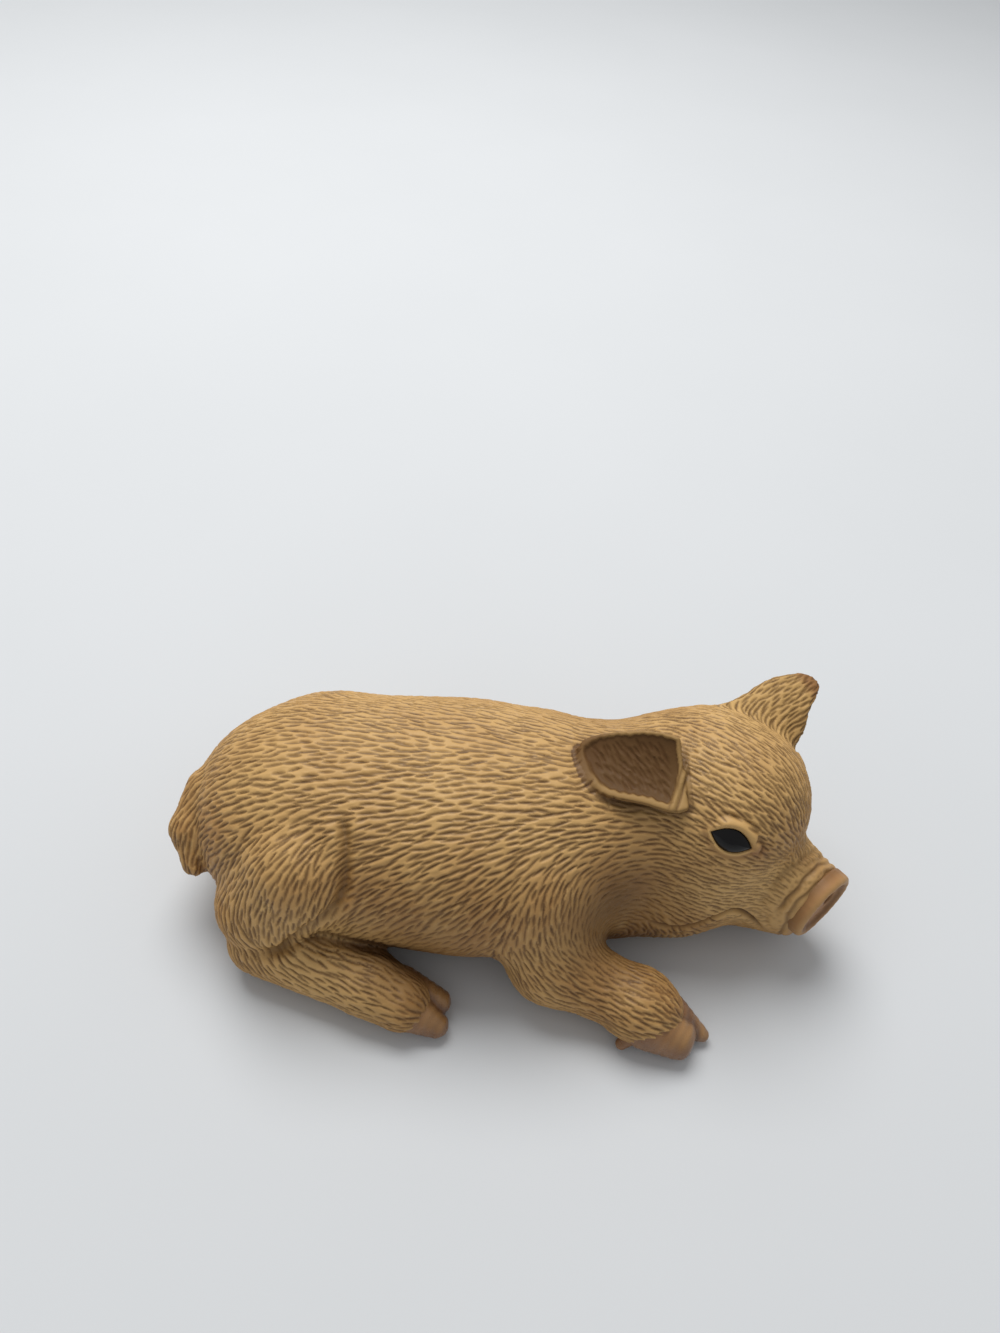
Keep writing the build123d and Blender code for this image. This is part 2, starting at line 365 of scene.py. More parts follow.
def meltedForms(forms, p):
    whole = forms["torso"]
    for name, width in blendWidths.items():
        whole = melt(whole, forms[name], width)
    return trim(whole, -p[..., 2], 0.4)


def coatForm(p):
    return meltedForms(partForms(p), p)


# From a form to a mesh: a volume grid first, then its points settled on the true surface.
meshing = {
    "low": (-46.0, -26.5, -0.84),
    "high": (43.0, 26.5, 36.0),
    "voxel": 0.33,
    "coarse": 2,
    "band": 2.4,
    "nudge": 0.02,
}


def slopeOf(form, points):
    level = form(points)
    nudged = [form(points + meshing["nudge"] * axis) for axis in np.eye(3)]
    return level, (np.stack(nudged, -1) - level[:, None]) / meshing["nudge"]


def settled(form, points, rounds, reach):
    for _ in range(rounds):
        level, slope = slopeOf(form, points)
        move = slope * (level / np.maximum((slope**2).sum(1), 0.1))[:, None]
        size = np.linalg.norm(move, axis=1, keepdims=True)
        points = points - move * np.minimum(1, reach / np.maximum(size, 1e-9))
    return points


def skinOf(form, low, high, voxel):
    low, high = np.asarray(low, float), np.asarray(high, float)
    step = meshing["coarse"]
    counts = np.ceil((high - low) / (voxel * step)).astype(int) + 1
    sides = [low[i] + voxel * step * (np.arange(counts[i]) + 0.25) for i in range(3)]
    corners = np.stack(np.meshgrid(*sides, indexing="ij"), -1).reshape(-1, 3)
    rough = form(corners).reshape(counts)
    field = rough.repeat(step, 0).repeat(step, 1).repeat(step, 2)
    close = np.argwhere(np.abs(field) < meshing["band"] + voxel * step)
    field[tuple(close.T)] = form(low + close * voxel)
    grid = openvdb.FloatGrid()
    grid.copyFromArray(np.ascontiguousarray(field, dtype=np.float32))
    points, _, quads = grid.convertToPolygons(isovalue=0.0, adaptivity=0.0)
    points = settled(form, low + points.astype(float) * voxel, 2, voxel / 2)
    return points, quads.astype(np.int64)


def quartered(points, quads):
    pairs = np.stack([quads, np.roll(quads, -1, 1)], -1).reshape(-1, 2)
    keys = pairs.min(1) * len(points) + pairs.max(1)
    unique, place = np.unique(keys, return_inverse=True)
    middles = (points[unique // len(points)] + points[unique % len(points)]) / 2
    edges = len(points) + place.reshape(-1, 4)
    centres = len(points) + len(unique) + np.arange(len(quads))
    smaller = [np.stack([quads[:, i], edges[:, i], centres, edges[:, i - 1]], 1) for i in range(4)]
    return np.concatenate([points, middles, points[quads].mean(1)]), np.stack(smaller, 1).reshape(-1, 4)


def makeCoat():
    points, quads = skinOf(coatForm, meshing["low"], meshing["high"], meshing["voxel"])
    points, quads = quartered(points, quads)
    points = settled(coatForm, points, 1, meshing["voxel"] / 4)
    return points, quads


coatPoints, coatQuads = makeCoat()
coatLevels = np.stack(list(partForms(coatPoints).values()))
_, coatNormals = slopeOf(coatForm, coatPoints)
coatNormals /= np.linalg.norm(coatNormals, axis=1, keepdims=True)
print("coat meshed,", len(coatQuads), "faces")


# Which way the hair lies, on each part
hairFlow = {
    "parting": 2.5,
    "barrelHeight": 12.5,
    "backSlant": 0.14,
    "flankSlant": 1.25,
    "throat": np.array([13.2, -13.0, 6.5]),
    "neckReach": (-9.0, 6.0),
    "earLean": 0.72,
}


def flat(directions, normals):
    along = directions - normals * (directions * normals).sum(1, keepdims=True)
    return along / np.maximum(np.linalg.norm(along, axis=1, keepdims=True), 1e-6)


def torsoFlow(p):
    side = np.tanh(p[:, 1] / hairFlow["parting"])
    ring = np.stack([np.zeros(len(p)), p[:, 1], p[:, 2] - hairFlow["barrelHeight"]], 1)
    ring /= np.linalg.norm(ring, axis=1, keepdims=True)
    around = np.stack([np.zeros(len(p)), ring[:, 2], -ring[:, 1]], 1)    # to the left over the back
    drop = np.arccos(np.clip(ring[:, 2], -1, 1))
    slant = hairFlow["backSlant"] + hairFlow["flankSlant"] * smooth(0.3, 1.9, drop)
    back = np.stack([-np.ones(len(p)), np.zeros(len(p)), np.zeros(len(p))], 1)
    barrel = back + around * (slant * side)[:, None]
    outward = p - hairFlow["throat"]
    swirl = np.stack([-outward[:, 2], np.zeros(len(p)), outward[:, 0]], 1)
    swirl /= np.maximum(np.linalg.norm(swirl, axis=1, keepdims=True), 1e-6)
    neck = smooth(*hairFlow["neckReach"], p[:, 0]) * smooth(0.4, 1.1, drop)
    barrel /= np.linalg.norm(barrel, axis=1, keepdims=True)
    return barrel * (1 - neck)[:, None] + swirl * neck[:, None]


def headFlow(p):
    return np.tile(-head["axes"][0] + 0.15 * head["axes"][2], (len(p), 1))


def limbFlow(p, joints):
    total, weights = np.zeros((len(p), 3)), np.zeros((len(p), 1))
    for start, end in zip(joints[:-1], joints[1:]):
        start, end = np.asarray(start, float), np.asarray(end, float)
        run = end - start
        share = np.clip(((p - start) @ run) / (run @ run), 0, 1)
        gap = np.linalg.norm(p - start - share[:, None] * run, axis=1, keepdims=True)
        weight = 1 / (gap**4 + 1e-3)
        total += weight * unitOf(run)
        weights += weight
    return total / weights


def earFlow(p, ear):
    u, v, w = earLocal(p, ear).T
    across = earAxes(ear)[1]
    inner = smooth(-0.3, 0.3, earHeight(u, v, w, ear))[:, None]
    return (1 - inner) * ear["along"] - inner * (hairFlow["earLean"] * ear["along"] + 0.69 * across)


forelegJoints = [(1.5, -8.5, 20.0), (3.5, -13.0, 7.5), (8.0, -15.5, 5.4), (20.0, -19.5, 4.4)]
hindLegJoints = [(-24.5, -9.0, 23.0), (-29.5, -13.5, 6.0), (-14.0, -19.2, 4.2)]
tailJoints = [(-39.5, -1, 18), (-41.0, -5.5, 13.2), (-40.0, -9, 10)]
flows = {
    "torso": torsoFlow,
    "head": headFlow,
    "right_foreleg": lambda p: limbFlow(p, forelegJoints),
    "right_hind_leg": lambda p: limbFlow(p, hindLegJoints),
    "tail": lambda p: limbFlow(p, tailJoints),
    "right_ear": lambda p: earFlow(p, rightEar),
    "left_ear": lambda p: np.tile(leftEar["along"], (len(p), 1)),
}


# How much each part counts at each point
def partShares(levels):
    near = np.exp(-(levels - levels.min(0)))
    return near / near.sum(0)


def flowOf(p, levels, normals):
    total = np.zeros_like(p)
    for share, name in zip(partShares(levels), coatParts):
        if name in flows:
            total += share[:, None] * flows[name](p)
        else:
            total += share[:, None] * mirrored(flows[name.replace("left", "right")](mirrored(p)))
    return flat(total, normals)


coatFlow = flowOf(coatPoints, coatLevels, coatNormals)
print("hair flow laid")

# Inside the near ear the hair runs aslant
earHair = {"level": 0.5, "facing": 0.3, "drop": np.array([0.0, -0.62, -0.30])}
earLevels = {name: coatLevels[list(coatParts).index(name)] for name in ("right_ear", "left_ear")}
hollowSide = coatNormals @ rightEar["hollow"] > earHair["facing"]
inEar = np.flatnonzero((earLevels["right_ear"] < earHair["level"]) & hollowSide)
aslant = -hairFlow["earLean"] * rightEar["along"] + earHair["drop"]
coatFlow[inEar] = flat(np.tile(aslant, (len(inEar), 1)), coatNormals[inEar])

rng = np.random.default_rng(figurine["seed"])
coatTree = KDTree(len(coatPoints))
for number, point in enumerate(coatPoints):
    coatTree.insert(point, number)
coatTree.balance()


def nearby(place, reach):
    return np.array([hit[1] for hit in coatTree.find_range(Vector(place), reach)])


# Marks on the coat: how deep it is cut, and how much it holds of each wash and tint. The wash mark is both
# the brown stain in carved grooves and painted shade, and the pale mark is both pale paint and painted
# highlight.
marks = {name: np.zeros(len(coatPoints)) for name in ("depth", "wash_and_shade", "pale_and_highlight", "rosy", "hollow")}
quiet = np.zeros(len(coatPoints), bool)      # where no hair starts
onEar = {name: level < 0.7 for name, level in earLevels.items()}


def bump(value, middle, width):
    return np.exp(-(((value - middle) / width) ** 2))


def deepen(mark, near, amount):
    marks[mark][near] = np.maximum(marks[mark][near], amount)


# Painted shade: darker brown in the hollows between the parts and under the body. A rosy tint is added low in
# the hollows and underneath.
cavities = {
    "nearReach": 1.2,
    "farReach": 3.4,
    "nearShade": 0.60,
    "farShade": 0.14,
    "bellyShade": 0.22,
    "neckShadow": 0.58,
    "neckAlong": (11.5, 5.5),    # middle and reach
    "neckUp": (16.5, 6.5),
}


def cavity(reach):
    return np.clip(1 - coatForm(coatPoints + coatNormals * reach) / reach, 0, 1)


def paintShadeAndHighlight():
    near = smooth(0.22, 0.85, cavity(cavities["nearReach"]))
    far = smooth(0.25, 0.9, cavity(cavities["farReach"]))
    under = smooth(0.1, -0.7, coatNormals[:, 2]) * smooth(14.0, 4.0, coatPoints[:, 2])
    total = cavities["nearShade"] * near + cavities["farShade"] * far + cavities["bellyShade"] * under
    marks["wash_and_shade"] += total
    # Painted shadow of the ear and jaw, on the neck
    neckAlong = bump(coatPoints[:, 0], *cavities["neckAlong"])
    neckUp = bump(coatPoints[:, 2], *cavities["neckUp"])
    marks["wash_and_shade"] += cavities["neckShadow"] * neckAlong * neckUp
    marks["rosy"] += 0.55 * far * smooth(11.0, 3.0, coatPoints[:, 2]) + 0.15 * under
    # Painted highlight: paler on upward-facing surfaces high on the body
    marks["pale_and_highlight"] += 0.75 * smooth(0.30, 0.95, coatNormals[:, 2]) * smooth(15.0, 24.0, coatPoints[:, 2])


# Soft tints by place: middle, reach, mark and amount. The far side has the same ones. Pale tints are painted
# light on the shank, haunch, forearm, shoulder and muzzle; wash tints are painted shade on and under the
# flank and at the neck.
bodyTints = [
    ((-22.0, -17.5, 5.0), 9.0, "pale_and_highlight", 1.15),
    ((-27.0, -16.5, 13.0), 7.0, "pale_and_highlight", 0.34),
    ((12.0, -18.0, 6.0), 8.0, "pale_and_highlight", 0.22),
    ((3.0, -15.0, 12.0), 6.0, "pale_and_highlight", 0.15),
    ((-10.0, -15.5, 6.5), 9.0, "wash_and_shade", 0.50),
    ((35.0, -7.0, 11.5), 4.5, "pale_and_highlight", 0.90),
    ((14.5, -13.5, 9.5), 6.5, "wash_and_shade", 0.26),
    ((-8.0, -16.0, 14.0), 9.0, "wash_and_shade", 0.07),
    ((12.0, -13.0, 15.0), 7.0, "wash_and_shade", 0.10),
    ((-3.0, -14.0, 3.0), 5.0, "rosy", 0.45),
]
# Pale head tints are painted light on the muzzle, cheek and brow; the wash one is painted shade low on the
# cheek
headTints = [
    ((9.5, -7.0, -3.0), 6.0, "pale_and_highlight", 0.95),
    ((13.0, -3.0, -5.0), 5.5, "pale_and_highlight", 1.10),
    ((3.0, -11.0, -2.0), 6.0, "pale_and_highlight", 0.50),
    ((2.0, -8.0, 9.0), 6.0, "pale_and_highlight", 0.25),
    ((-1.0, -11.5, -6.0), 6.0, "wash_and_shade", 0.12),
]


def tintPlaces():
    headPlaces = (coatPoints - head["middle"]) @ head["axes"].T
    for places, tints in ((coatPoints, bodyTints), (headPlaces, headTints)):
        for middle, reach, mark, amount in tints:
            gap = np.linalg.norm(places - middle, axis=1)
            other = np.linalg.norm(mirrored(places) - middle, axis=1)
            marks[mark] += amount * np.maximum(bump(gap, 0, reach), bump(other, 0, reach))


paintShadeAndHighlight()
tintPlaces()
print("washes settled")

# Eyes: almond beads between raised lids. Places count forward, left and up in the head's frame.
eyes = {
    "right_eye": {"place": (6.1, -9.4, 5.9), "corner": (0.93, 0.33, -0.17)},
    "left_eye": {"place": (6.2, 9.0, 5.0), "corner": (0.93, -0.33, -0.17)},
}
eyeShape = {
    "halfLength": 2.65,
    "upper": 1.55,
    "lower": 1.50,
    "dome": 0.75,
    "back": 0.9,
    "set": 0.28,
    "bend": 0.035,
    "turns": 64,
    "rings": 12,
}
lids = {
    "reach": 7.0,
    "upperLift": 0.46,
    "upperWidth": 0.50,
    "lowerLift": 0.16,
    "lowerWidth": 0.20,
    "fold": 0.24,
    "socket": 0.75,
}


def eyeFrame(eye):
    place = settled(headForm, headSpot(*eye["place"])[None], 5, 1.0)
    outward = slopeOf(headForm, place)[1]
    outward /= np.linalg.norm(outward)
    along = flat((np.array(eye["corner"]) @ head["axes"])[None], outward)[0]
    up = np.cross(outward[0], along)
    return place[0], along, up * np.sign(up[2]), outward[0]


def almondGap(a, b):
    half = eyeShape["halfLength"]
    share = np.clip(a / half, -1, 1)
    rise = np.where(b > 0, eyeShape["upper"], eyeShape["lower"])
    gap = (np.abs(b) - rise * (1 - share**2)) / np.sqrt(1 + (2 * rise * share / half) ** 2)
    return np.where(np.abs(a) > half, np.hypot(np.abs(a) - half, b), gap)


def carveLids(eye):
    place, along, up, outward = eyeFrame(eye)
    offset = coatPoints - place
    near = np.flatnonzero((np.linalg.norm(offset, axis=1) < lids["reach"]) & (coatNormals @ outward > 0.1))
    near = near[~(onEar["right_ear"] | onEar["left_ear"])[near]]
    a, b = offset[near] @ along, offset[near] @ up
    gap = almondGap(a, b)
    upper = smooth(-0.5, 0.5, b + 0.12 * a)
    lower = 1 - upper
    socket = smooth(0.05, -0.30, gap)
    upperLid = upper * bump(gap, 0.50, lids["upperWidth"]) * smooth(-4.2, -1.2, a)
    lowerLid = lower * bump(gap, 0.20, lids["lowerWidth"])
    fold = upper * bump(gap, 1.35, 0.24) * smooth(-3.4, -1.2, a)
    bag = lower * bump(gap, 0.72, 0.30)
    cut = lids["socket"] * socket + lids["fold"] * fold + 0.08 * bag
    marks["depth"][near] += cut - lids["upperLift"] * upperLid - lids["lowerLift"] * lowerLid
    frontCorner = bump(np.hypot(a - 3.7, b + 0.2), 0.0, 1.2)
    # Painted shade in the socket, in the fold above the eye and under the lower lid; the pale on the lids is
    # their own paint
    deepen("wash_and_shade", near, np.clip(0.95 * socket + 0.50 * fold + 0.30 * bag + 0.22 * frontCorner, 0, 1))
    deepen("pale_and_highlight", near, np.clip(0.70 * upperLid + 1.0 * lowerLid, 0, 1) * (1 - socket))
    deepen("rosy", near, 0.85 * frontCorner + 0.40 * bag)


# Distance from the nearer eye's edge, or just a large number away from the eyes
def eyeGap(points):
    gaps = []
    for eye in eyes.values():
        place, along, up, _ = eyeFrame(eye)
        gap = almondGap((points - place) @ along, (points - place) @ up)
        gaps.append(np.where(np.linalg.norm(points - place, axis=1) < lids["reach"], gap, 9.0))
    return np.minimum(*gaps)


for eye in eyes.values():
    carveLids(eye)

# Snout and mouth. Wrinkles are rings behind the disc: turn counts from the top, spread is to each side.
wrinkles = [
    {"back": 2.0, "turn": 0, "spread": 180, "depth": 0.26, "width": 0.26, "wash_and_shade": 0.62},
    {"back": 3.2, "turn": -30, "spread": 62, "depth": 0.30, "width": 0.26, "wash_and_shade": 0.75},
    {"back": 4.1, "turn": 12, "spread": 46, "depth": 0.16, "width": 0.30, "wash_and_shade": 0.35},
    {"back": 5.0, "turn": -18, "spread": 52, "depth": 0.18, "width": 0.30, "wash_and_shade": 0.42},
    {"back": 6.1, "turn": 6, "spread": 40, "depth": 0.12, "width": 0.34, "wash_and_shade": 0.25},
    {"back": 3.2, "turn": 62, "spread": 30, "depth": 0.20, "width": 0.26, "wash_and_shade": 0.5},
]
mouth = {
    "line": [(0.5, -14.7, -9.4), (4.0, -12.3, -10.3), (6.5, -10.7, -9.2), (8.3, -9.3, -7.4),
             (9.8, -7.9, -6.6), (11.5, -5.9, -8.6), (13.7, -3.3, -12.2)],
    "width": 0.36,
    "depth": 0.62,
    "wash_and_shade": 1.0,
}
stipple = {"count": 240, "radius": 0.26, "depth": 0.10, "band": (0.2, 3.2), "reach": 9.0}
muzzle = {"reach": 14.0, "start": 2.0, "elsewhere": 12.0}


# Distance back from the snout disc, or just a large number away from the muzzle
def snoutGap(points):
    local = snoutLocal(points)
    onMuzzle = np.linalg.norm(local, axis=1) < muzzle["reach"]
    return np.where(onMuzzle, -local[:, 0] - muzzle["start"], muzzle["elsewhere"])


def carveWrinkles():
    f, l, u = snoutLocal(coatPoints).T
    near = np.flatnonzero((f > -9.0) & (f < 2.0) & (np.hypot(l, u) < 12.0))
    f, l, u = f[near], l[near], u[near]
    turn = np.degrees(np.arctan2(l, u))
    for number, line in enumerate(wrinkles):
        sway = 0.16 * np.sin(turn * 0.075 + number * 1.9) + 0.07 * np.sin(turn * 0.21 + number)
        across = f + line["back"] + sway
        away = np.abs((turn - line["turn"] + 180) % 360 - 180)
        ends = smooth(line["spread"], line["spread"] * 0.55, away) if line["spread"] < 180 else 1.0
        groove, swell = bump(across, 0, line["width"]), bump(across, 0.62, 0.34)
        marks["depth"][near] += ends * line["depth"] * (groove - 0.45 * swell)
        deepen("wash_and_shade", near, ends * line["wash_and_shade"] * groove)
        deepen("pale_and_highlight", near, ends * 0.30 * bump(across, 0.62, 0.30))
    deepen("rosy", near, 0.22 * smooth(-6.5, -2.0, f))


# Cuts a groove along a line, with a low lip on both sides
def drawLine(points, width, depth, wash_and_shade, lip=0.3):
    points = np.asarray(points, float)
    low, high = points.min(0) - 3, points.max(0) + 3
    near = np.flatnonzero(((coatPoints > low) & (coatPoints < high)).all(1))
    gap, place = np.full(len(near), 1e9), np.zeros(len(near))
    for number, (start, end) in enumerate(zip(points[:-1], points[1:])):
        run = end - start
        offset = coatPoints[near] - start
        share = np.clip(offset @ run / (run @ run), 0, 1)
        distance = np.linalg.norm(offset - share[:, None] * run, axis=1)
        closer = distance < gap
        gap[closer], place[closer] = distance[closer], (number + share[closer]) / (len(points) - 1)
    quiet[near[gap < 2.2 * width]] = True
    ends = smooth(-0.02, 0.12, place) * smooth(1.02, 0.88, place)
    marks["depth"][near] += ends * depth * (bump(gap, 0, width) - lip * bump(gap, 2.4 * width, 1.3 * width))
    deepen("wash_and_shade", near, ends * wash_and_shade * bump(gap, 0, width * 0.9))


def carveMouth():
    for side in (1, -1):
        corners = [headSpot(forward, side * left, up) for forward, left, up in mouth["line"]]
        line = settled(coatForm, curved(corners, 22), 6, 1.0)
        drawLine(line, mouth["width"], mouth["depth"], mouth["wash_and_shade"])


def carveStipple():
    behind = snoutGap(coatPoints)
    start, end = stipple["band"]
    close = np.linalg.norm(snoutLocal(coatPoints)[:, 1:], axis=1) < stipple["reach"]
    for number in rng.choice(np.flatnonzero((behind > start) & (behind < end) & close), stipple["count"]):
        hits = nearby(coatPoints[number], 0.6)
        gap = np.linalg.norm(coatPoints[hits] - coatPoints[number], axis=1)
        marks["depth"][hits] += stipple["depth"] * bump(gap, 0, stipple["radius"])
        deepen("wash_and_shade", hits, 0.30 * bump(gap, 0, stipple["radius"]))


carveWrinkles()
carveMouth()
carveStipple()
print("face carved")

# Ear hollows: a sunken dark inside with a rim around it
earHollow = {"rim": 1.0, "topRim": 0.5, "sunk": 0.34, "tone": 0.95, "rimTone": 0.42, "tipTone": 0.35}


def carveEar(name, ear):
    near = np.flatnonzero(onEar[name])
    u, v, _ = earLocal(coatPoints[near], ear).T
    facing = smooth(0.05, 0.45, coatNormals[near] @ earAxes(ear)[2])
    rootLine = ear["hollowFrom"]
    edge = outlineForm(u, v, ear["outline"]) - ear["round"]
    rim = earHollow["rim"] + (earHollow["topRim"] - earHollow["rim"]) * smooth(-1.0, 2.5, v)
    edge = edge + rim + 0.12 * np.sin(2.1 * u + 0.7) * np.sin(1.7 * v) + 0.07 * np.sin(5.3 * u - 3.1 * v)
    inside = facing * smooth(0.25, -0.3, edge) * smooth(rootLine - 0.2, rootLine + 0.3, u)
    marks["depth"][near] += earHollow["sunk"] * inside
    tip = earHollow["tipTone"] * smooth(8.0, 12.0, u) * (name == "right_ear")
    shade = (earHollow["rimTone"] + tip) * facing
    deepen("hollow", near, np.maximum(earHollow["tone"] * smooth(0.15, 0.75, inside), shade))
    rimEdge = facing * bump(edge, -0.02, 0.16) * smooth(rootLine - 0.6, rootLine, u)
    deepen("wash_and_shade", near, 0.60 * rimEdge * smooth(2.5, -1.5, v))
    return near, u, v, facing


# The near ear has a fold at its root, and both tips are rosy
earNear, u, v, facing = carveEar("right_ear", rightEar)
fold = facing * smooth(-4.6, -3.4, v) * smooth(3.4, 2.4, v)
marks["depth"][earNear] -= 0.20 * fold * bump(u, 0.55, 0.22)
marks["depth"][earNear] += 0.18 * fold * bump(u, 0.08, 0.16)
deepen("wash_and_shade", earNear, 0.75 * fold * (bump(u, 0.06, 0.15) + 0.8 * bump(u, 0.95, 0.14)))
deepen("rosy", earNear, 0.35 * smooth(9.0, 12.0, u))
earNear, u, v, facing = carveEar("left_ear", leftEar)
deepen("rosy", earNear, smooth(8.3, 10.2, u))
deepen("wash_and_shade", earNear, 0.35 * smooth(8.9, 10.4, u))
print("ears hollowed")

# Crease in front of the haunch, darkened as painted shade, with a paler edge behind it as a painted
# highlight. On the far side it is shorter and shallower.
haunchCrease = {
    "line": [(-21.0, -8.6, 25.3), (-20.0, -11.9, 22.7), (-20.0, -15.4, 17.8), (-22.6, -17.6, 14.0),
             (-26.4, -18.2, 9.6), (-30.0, -17.6, 7.4)],
    "farFrom": 2,            # the corner that it starts at on the far side
    "width": 0.70,
    "depth": 0.64,
    "farShare": 0.4,
    "wash_and_shade": 0.62,
    "lip": 0.55,
    "highlightBack": 2.1,
    "pale_and_highlight": 0.55,
    "reach": 14.0,
}


def carveCrease(corners, side, depth):
    line = settled(coatForm, curved(np.array(corners) * np.array([1, side, 1]), 24), 6, 1.0)
    drawLine(line, haunchCrease["width"], depth, haunchCrease["wash_and_shade"], haunchCrease["lip"])
    distance = np.linalg.norm(coatPoints - line.mean(0), axis=1)
    quiet[distance <= haunchCrease["reach"]] = False      # hairs grow across this groove
    near = np.flatnonzero(distance < haunchCrease["reach"])
    # Painted highlight on the haunch's edge, behind the crease
    back = line - np.array([haunchCrease["highlightBack"], 0, 0])
    gap = np.sqrt(np.min(((coatPoints[near][:, None] - back[None, ::2]) ** 2).sum(-1), axis=1))
    deepen("pale_and_highlight", near, haunchCrease["pale_and_highlight"] * bump(gap, 0, 1.5))


farCorners = haunchCrease["line"][haunchCrease["farFrom"]:]
carveCrease(haunchCrease["line"], 1, haunchCrease["depth"])
carveCrease(farCorners, -1, haunchCrease["depth"] * haunchCrease["farShare"])

# Small nicks in the cast: place and size
nicks = [((-28.5, -16.1, 16.4), 0.42), ((14.0, -10.2, 9.6), 0.36)]
for place, size in nicks:
    hits = nearby(place, 1.6)
    if len(hits):
        gap = np.linalg.norm(coatPoints[hits] - np.array(place), axis=1)
        gap = gap - gap.min()
        marks["depth"][hits] += 0.12 * bump(gap, 0, size)
        deepen("pale_and_highlight", hits, 1.6 * bump(gap, 0, size))


# Carved hairs: single tapered strokes, scattered with even gaps and cut along the flow
strokes = {
    "length": 2.4,
    "lengths": (0.7, 1.3),
    "width": 0.205,
    "widths": (0.85, 1.25),
    "depth": 0.24,
    "depths": (0.7, 1.2),
    "washes": (0.72, 1.0),
    "stray": 0.10,
    "gapAlong": 1.45,
    "gapAcross": 0.64,
    "candidates": 200000,
}
ridges = {
    "length": 2.4,
    "lengths": (0.6, 1.3),
    "width": 0.24,
    "lift": 0.07,
    "pales": (0.35, 1.0),
    "stray": 0.08,
    "gapAlong": 1.7,
    "gapAcross": 0.86,
    "candidates": 90000,
    "mostWash": 0.25,
}
hairSizes = {
    "torso": 1.0,
    "head": 0.80,
    "right_foreleg": 0.86,
    "left_foreleg": 0.86,
    "right_hind_leg": 0.94,
    "left_hind_leg": 0.94,
    "tail": 0.8,
    "right_ear": 0.70,
    "left_ear": 0.74,
}
steps = [(a, b, c) for a in (-1, 0, 1) for b in (-1, 0, 1) for c in (-1, 0, 1)]


def sizeOf(levels):
    return sum(share * hairSizes[name] for share, name in zip(partShares(levels), coatParts))


def crowded(place, flow, longGap, wideGap, home, cells):
    x, y, z = place
    fx, fy, fz = flow
    ix, iy, iz = home
    for a, b, c in steps:
        for ox, oy, oz in cells.get((ix + a, iy + b, iz + c), ()):
            dx, dy, dz = x - ox, y - oy, z - oz
            along = dx * fx + dy * fy + dz * fz
            across = dx * dx + dy * dy + dz * dz - along * along
            if (along / longGap) ** 2 + across / wideGap**2 < 1:
                return True
    return False


# Picks points at random that keep their gap, which is longer along the flow than across it
def scattered(kind, sizes, allowed):
    cell = 2.6
    chosen, cells = [], {}
    order = rng.permutation(np.flatnonzero(allowed))[: kind["candidates"]]
    for number in order.tolist():
        place, size = coatPoints[number].tolist(), sizes[number]
        home = tuple(int(value // cell) for value in place)
        longGap, wideGap = kind["gapAlong"] * size, kind["gapAcross"] * size
        if not crowded(place, coatFlow[number].tolist(), longGap, wideGap, home, cells):
            chosen.append(number)
            cells.setdefault(home, []).append(place)
    return chosen


# The points that one hair covers, how deep each is, and its place across in shares of the width
def strokeShape(seed, length, width, turn):
    place, along, normal = coatPoints[seed], coatFlow[seed], coatNormals[seed]
    across = np.cross(normal, along)
    along = along * math.cos(turn) + across * math.sin(turn)
    across = np.cross(normal, along)
    half = length / 2
    ahead = coatFlow[coatTree.find(Vector(place + along * half * 0.6))[1]]
    behind = coatFlow[coatTree.find(Vector(place - along * half * 0.6))[1]]
    bend = float(np.clip(((ahead - behind) @ across) / (2 * half * 1.2), -0.25, 0.25))
    near = nearby(place, half + 2 * width)
    offset = coatPoints[near] - place
    a = offset @ along
    b = offset @ across - bend * a * a
    share = np.clip(1 - (a / half) ** 2, 0, 1)
    taper = share**0.6 * (0.85 - 0.15 * a / half) * (coatNormals[near] @ normal > 0.2)
    return near, taper, b / (width * (0.45 + 0.55 * share))


hairDepths = np.zeros(len(coatPoints))


